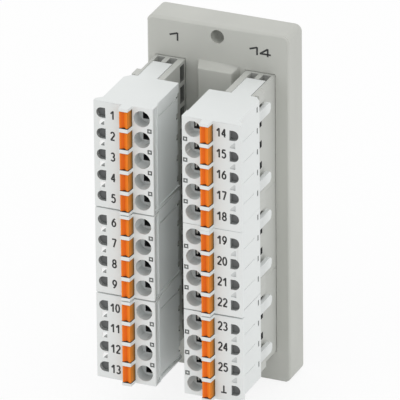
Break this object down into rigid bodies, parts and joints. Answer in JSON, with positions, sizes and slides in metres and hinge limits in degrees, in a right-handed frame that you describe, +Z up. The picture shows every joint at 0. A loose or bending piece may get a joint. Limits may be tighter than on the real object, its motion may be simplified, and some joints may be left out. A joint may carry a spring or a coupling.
{
  "type": "interface terminal module",
  "caption": "Upright grey plate with two columns of pluggable push-in terminal blocks with orange release buttons, and a D-shaped connector behind it.",
  "frame": {"origin": "centre of the plate's two-hole screw pattern, on the plate's rear face", "axes": "+X across the plate to the right as seen from the terminals, +Y from the terminals through the plate to the rear, +Z up along the terminal columns"},
  "size_m": [0.0349, 0.0425, 0.0842],
  "materials": {
    "plate_grey": "matt moulded grey",
    "header_grey": "matt moulded grey",
    "plug_grey": "satin light grey",
    "button_orange": "satin orange",
    "board_green": "solder resist",
    "tinned_pins": "tin plated",
    "contact_metal": "tin-plated copper alloy",
    "spring_steel": "bright rolled",
    "connector_steel": "tin plated",
    "insulator_black": "matt black",
    "pin_brass": "gold flashed"
  },
  "bodies": {
    "base": {"base_plate": "plate_grey", "circuit_board": "board_green", "header_pins": "tinned_pins", "header_left_top": "header_grey", "header_left_middle": "header_grey", "header_left_bottom": "header_grey", "header_right_top": "header_grey", "header_right_middle": "header_grey", "header_right_bottom": "header_grey", "connector_shell": "connector_steel", "connector_insulator": "insulator_black", "connector_pins": "pin_brass", "connector_screw_locks": "connector_steel"},
    "plug_left_top": {"plug_left_top": "plug_grey", "plug_left_top_contacts": "contact_metal", "plug_left_top_springs": "spring_steel"},
    "button_01": {"button_01": "button_orange"},
    "button_02": {"button_02": "button_orange"},
    "button_03": {"button_03": "button_orange"},
    "button_04": {"button_04": "button_orange"},
    "button_05": {"button_05": "button_orange"},
    "plug_left_middle": {"plug_left_middle": "plug_grey", "plug_left_middle_contacts": "contact_metal", "plug_left_middle_springs": "spring_steel"},
    "button_06": {"button_06": "button_orange"},
    "button_07": {"button_07": "button_orange"},
    "button_08": {"button_08": "button_orange"},
    "button_09": {"button_09": "button_orange"},
    "plug_left_bottom": {"plug_left_bottom": "plug_grey", "plug_left_bottom_contacts": "contact_metal", "plug_left_bottom_springs": "spring_steel"},
    "button_10": {"button_10": "button_orange"},
    "button_11": {"button_11": "button_orange"},
    "button_12": {"button_12": "button_orange"},
    "button_13": {"button_13": "button_orange"},
    "plug_right_top": {"plug_right_top": "plug_grey", "plug_right_top_contacts": "contact_metal", "plug_right_top_springs": "spring_steel"},
    "button_14": {"button_14": "button_orange"},
    "button_15": {"button_15": "button_orange"},
    "button_16": {"button_16": "button_orange"},
    "button_17": {"button_17": "button_orange"},
    "button_18": {"button_18": "button_orange"},
    "plug_right_middle": {"plug_right_middle": "plug_grey", "plug_right_middle_contacts": "contact_metal", "plug_right_middle_springs": "spring_steel"},
    "button_19": {"button_19": "button_orange"},
    "button_20": {"button_20": "button_orange"},
    "button_21": {"button_21": "button_orange"},
    "button_22": {"button_22": "button_orange"},
    "plug_right_bottom": {"plug_right_bottom": "plug_grey", "plug_right_bottom_contacts": "contact_metal", "plug_right_bottom_springs": "spring_steel"},
    "button_23": {"button_23": "button_orange"},
    "button_24": {"button_24": "button_orange"},
    "button_25": {"button_25": "button_orange"},
    "button_earth": {"button_earth": "button_orange"}
  },
  "joints": [
    {"name": "plug_left_top_pull", "type": "slide", "parent": "base", "child": "plug_left_top", "axis": [0, -1, 0], "range_m": [0, 0.013]},
    {"name": "button_01_press", "type": "slide", "parent": "plug_left_top", "child": "button_01", "axis": [0, 1, 0], "range_m": [0, 0.0012], "stiffness_N_per_m": 3000, "springref_m": -0.0004},
    {"name": "button_02_press", "type": "slide", "parent": "plug_left_top", "child": "button_02", "axis": [0, 1, 0], "range_m": [0, 0.0012], "stiffness_N_per_m": 3000, "springref_m": -0.0004},
    {"name": "button_03_press", "type": "slide", "parent": "plug_left_top", "child": "button_03", "axis": [0, 1, 0], "range_m": [0, 0.0012], "stiffness_N_per_m": 3000, "springref_m": -0.0004},
    {"name": "button_04_press", "type": "slide", "parent": "plug_left_top", "child": "button_04", "axis": [0, 1, 0], "range_m": [0, 0.0012], "stiffness_N_per_m": 3000, "springref_m": -0.0004},
    {"name": "button_05_press", "type": "slide", "parent": "plug_left_top", "child": "button_05", "axis": [0, 1, 0], "range_m": [0, 0.0012], "stiffness_N_per_m": 3000, "springref_m": -0.0004},
    {"name": "plug_left_middle_pull", "type": "slide", "parent": "base", "child": "plug_left_middle", "axis": [0, -1, 0], "range_m": [0, 0.013]},
    {"name": "button_06_press", "type": "slide", "parent": "plug_left_middle", "child": "button_06", "axis": [0, 1, 0], "range_m": [0, 0.0012], "stiffness_N_per_m": 3000, "springref_m": -0.0004},
    {"name": "button_07_press", "type": "slide", "parent": "plug_left_middle", "child": "button_07", "axis": [0, 1, 0], "range_m": [0, 0.0012], "stiffness_N_per_m": 3000, "springref_m": -0.0004},
    {"name": "button_08_press", "type": "slide", "parent": "plug_left_middle", "child": "button_08", "axis": [0, 1, 0], "range_m": [0, 0.0012], "stiffness_N_per_m": 3000, "springref_m": -0.0004},
    {"name": "button_09_press", "type": "slide", "parent": "plug_left_middle", "child": "button_09", "axis": [0, 1, 0], "range_m": [0, 0.0012], "stiffness_N_per_m": 3000, "springref_m": -0.0004},
    {"name": "plug_left_bottom_pull", "type": "slide", "parent": "base", "child": "plug_left_bottom", "axis": [0, -1, 0], "range_m": [0, 0.013]},
    {"name": "button_10_press", "type": "slide", "parent": "plug_left_bottom", "child": "button_10", "axis": [0, 1, 0], "range_m": [0, 0.0012], "stiffness_N_per_m": 3000, "springref_m": -0.0004},
    {"name": "button_11_press", "type": "slide", "parent": "plug_left_bottom", "child": "button_11", "axis": [0, 1, 0], "range_m": [0, 0.0012], "stiffness_N_per_m": 3000, "springref_m": -0.0004},
    {"name": "button_12_press", "type": "slide", "parent": "plug_left_bottom", "child": "button_12", "axis": [0, 1, 0], "range_m": [0, 0.0012], "stiffness_N_per_m": 3000, "springref_m": -0.0004},
    {"name": "button_13_press", "type": "slide", "parent": "plug_left_bottom", "child": "button_13", "axis": [0, 1, 0], "range_m": [0, 0.0012], "stiffness_N_per_m": 3000, "springref_m": -0.0004},
    {"name": "plug_right_top_pull", "type": "slide", "parent": "base", "child": "plug_right_top", "axis": [0, -1, 0], "range_m": [0, 0.013]},
    {"name": "button_14_press", "type": "slide", "parent": "plug_right_top", "child": "button_14", "axis": [0, 1, 0], "range_m": [0, 0.0012], "stiffness_N_per_m": 3000, "springref_m": -0.0004},
    {"name": "button_15_press", "type": "slide", "parent": "plug_right_top", "child": "button_15", "axis": [0, 1, 0], "range_m": [0, 0.0012], "stiffness_N_per_m": 3000, "springref_m": -0.0004},
    {"name": "button_16_press", "type": "slide", "parent": "plug_right_top", "child": "button_16", "axis": [0, 1, 0], "range_m": [0, 0.0012], "stiffness_N_per_m": 3000, "springref_m": -0.0004},
    {"name": "button_17_press", "type": "slide", "parent": "plug_right_top", "child": "button_17", "axis": [0, 1, 0], "range_m": [0, 0.0012], "stiffness_N_per_m": 3000, "springref_m": -0.0004},
    {"name": "button_18_press", "type": "slide", "parent": "plug_right_top", "child": "button_18", "axis": [0, 1, 0], "range_m": [0, 0.0012], "stiffness_N_per_m": 3000, "springref_m": -0.0004},
    {"name": "plug_right_middle_pull", "type": "slide", "parent": "base", "child": "plug_right_middle", "axis": [0, -1, 0], "range_m": [0, 0.013]},
    {"name": "button_19_press", "type": "slide", "parent": "plug_right_middle", "child": "button_19", "axis": [0, 1, 0], "range_m": [0, 0.0012], "stiffness_N_per_m": 3000, "springref_m": -0.0004},
    {"name": "button_20_press", "type": "slide", "parent": "plug_right_middle", "child": "button_20", "axis": [0, 1, 0], "range_m": [0, 0.0012], "stiffness_N_per_m": 3000, "springref_m": -0.0004},
    {"name": "button_21_press", "type": "slide", "parent": "plug_right_middle", "child": "button_21", "axis": [0, 1, 0], "range_m": [0, 0.0012], "stiffness_N_per_m": 3000, "springref_m": -0.0004},
    {"name": "button_22_press", "type": "slide", "parent": "plug_right_middle", "child": "button_22", "axis": [0, 1, 0], "range_m": [0, 0.0012], "stiffness_N_per_m": 3000, "springref_m": -0.0004},
    {"name": "plug_right_bottom_pull", "type": "slide", "parent": "base", "child": "plug_right_bottom", "axis": [0, -1, 0], "range_m": [0, 0.013]},
    {"name": "button_23_press", "type": "slide", "parent": "plug_right_bottom", "child": "button_23", "axis": [0, 1, 0], "range_m": [0, 0.0012], "stiffness_N_per_m": 3000, "springref_m": -0.0004},
    {"name": "button_24_press", "type": "slide", "parent": "plug_right_bottom", "child": "button_24", "axis": [0, 1, 0], "range_m": [0, 0.0012], "stiffness_N_per_m": 3000, "springref_m": -0.0004},
    {"name": "button_25_press", "type": "slide", "parent": "plug_right_bottom", "child": "button_25", "axis": [0, 1, 0], "range_m": [0, 0.0012], "stiffness_N_per_m": 3000, "springref_m": -0.0004},
    {"name": "button_earth_press", "type": "slide", "parent": "plug_right_bottom", "child": "button_earth", "axis": [0, 1, 0], "range_m": [0, 0.0012], "stiffness_N_per_m": 3000, "springref_m": -0.0004}
  ]
}
